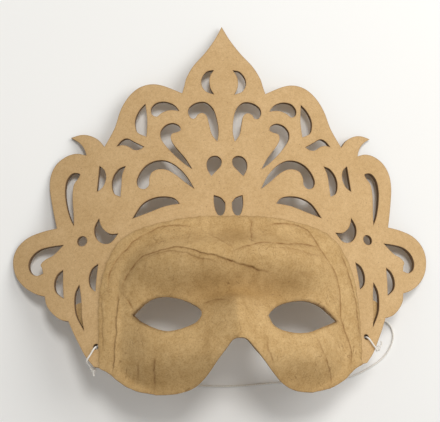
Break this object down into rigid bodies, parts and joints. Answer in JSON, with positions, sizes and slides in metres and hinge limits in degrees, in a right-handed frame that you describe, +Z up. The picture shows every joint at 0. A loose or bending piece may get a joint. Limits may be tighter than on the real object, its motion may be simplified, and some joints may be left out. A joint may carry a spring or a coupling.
{
  "type": "blank decoupage mask",
  "caption": "Blank kraft half mask for decorating, with a bent fretwork crown board, open eyes and a thin white elastic, lying on its back.",
  "frame": {"origin": "on the floor, under the middle of the rigid mask's outline", "axes": "+Z up, the face looks up; +Y towards the crown's tip, -Y towards the cheeks; +X to the right as seen from the front"},
  "size_m": [0.2284, 0.1991, 0.0735],
  "materials": {
    "kraft_board": "matte, with dark laser-cut edges",
    "kraft_paper": "matte, pasted strips",
    "white_elastic": "matte, braided cover"
  },
  "bodies": {
    "root": {"fretwork_crown": "kraft_board", "face_shell": "kraft_paper", "elastic_cord": "white_elastic", "tie_left": "white_elastic", "tie_right": "white_elastic"}
  },
  "joints": []
}
